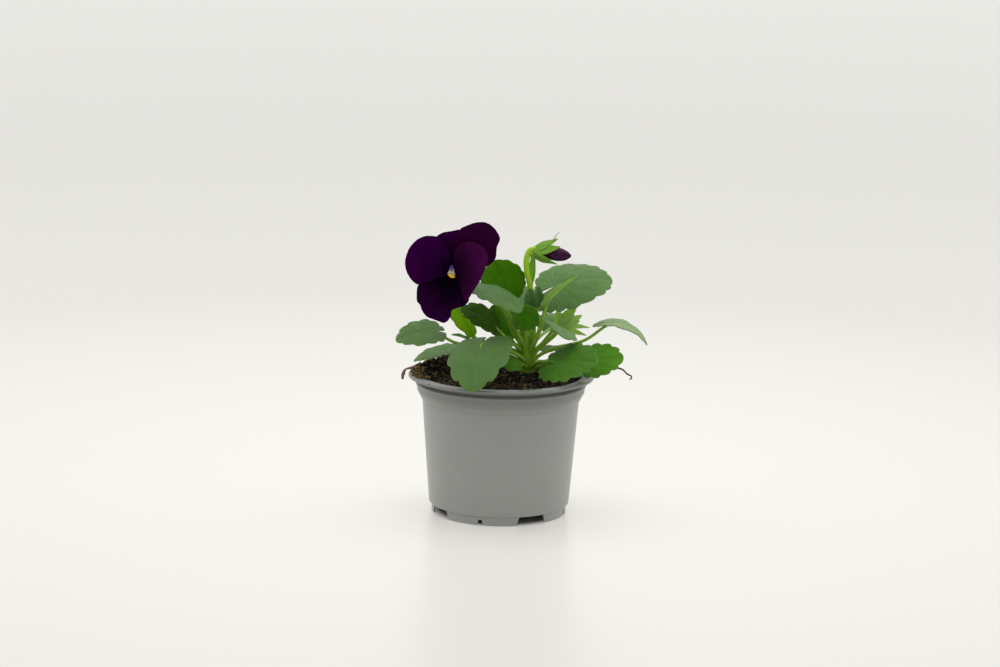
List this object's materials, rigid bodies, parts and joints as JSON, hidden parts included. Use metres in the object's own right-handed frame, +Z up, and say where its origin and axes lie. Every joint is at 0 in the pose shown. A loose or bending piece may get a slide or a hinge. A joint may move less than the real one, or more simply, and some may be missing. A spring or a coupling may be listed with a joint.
{
  "type": "potted pansy",
  "caption": "Pansy plant in flower, with scalloped leaves, a dark purple bloom and a bud, in a round plastic nursery pot full of potting mix",
  "frame": {"origin": "middle of the bounding box, on the surface that the pot stands on", "axes": "+Z up, -Y towards the side that the flower faces, +X to the right as seen from there"},
  "size_m": [0.1428, 0.1082, 0.1679],
  "materials": {
    "pot_plastic": "satin moulded grey plastic",
    "potting_mix": "moist crumbly peat, rough and matt",
    "stem_green": "juicy smooth stem, slightly translucent",
    "young_leaf_green": "young leaf, soft satin",
    "leaf_green": "sage green leaf with a greyish satin sheen",
    "petal_purple": "velvety dark purple petal",
    "sepal_green": "pale green sepal, satin",
    "stigma_yellow": "yellow green stigma, satin",
    "dry_brown": "dry dark fibre, matt"
  },
  "bodies": {
    "root": {"pot": "pot_plastic", "soil": "potting_mix", "crown": "stem_green", "leaf_far_left": "leaf_green", "leaf_low_left": "leaf_green", "leaf_front": "leaf_green", "leaf_behind_flower": "leaf_green", "leaf_shaded": "leaf_green", "leaf_behind_centre": "leaf_green", "leaf_under_flower": "leaf_green", "leaf_upright": "leaf_green", "leaf_upper_right": "leaf_green", "leaf_narrow": "leaf_green", "leaf_mid_right": "leaf_green", "leaf_far_right": "leaf_green", "leaf_front_right": "leaf_green", "leaf_low_right": "leaf_green", "leaf_by_soil": "leaf_green", "leaf_sliver": "leaf_green", "leaf_back_left": "leaf_green", "leaf_back_right": "leaf_green", "leaf_back_high": "leaf_green", "leaf_back_far": "leaf_green", "young_leaf_centre": "young_leaf_green", "young_leaf_left": "young_leaf_green", "young_leaf_right": "young_leaf_green", "petal_upper_left": "petal_purple", "petal_upper_right": "petal_purple", "petal_lower": "petal_purple", "petal_left": "petal_purple", "petal_right": "petal_purple", "flower_calyx": "sepal_green", "pistil": "stigma_yellow", "bud_petals": "petal_purple", "bud_calyx": "sepal_green", "twig": "dry_brown", "fibre": "dry_brown"}
  },
  "joints": []
}
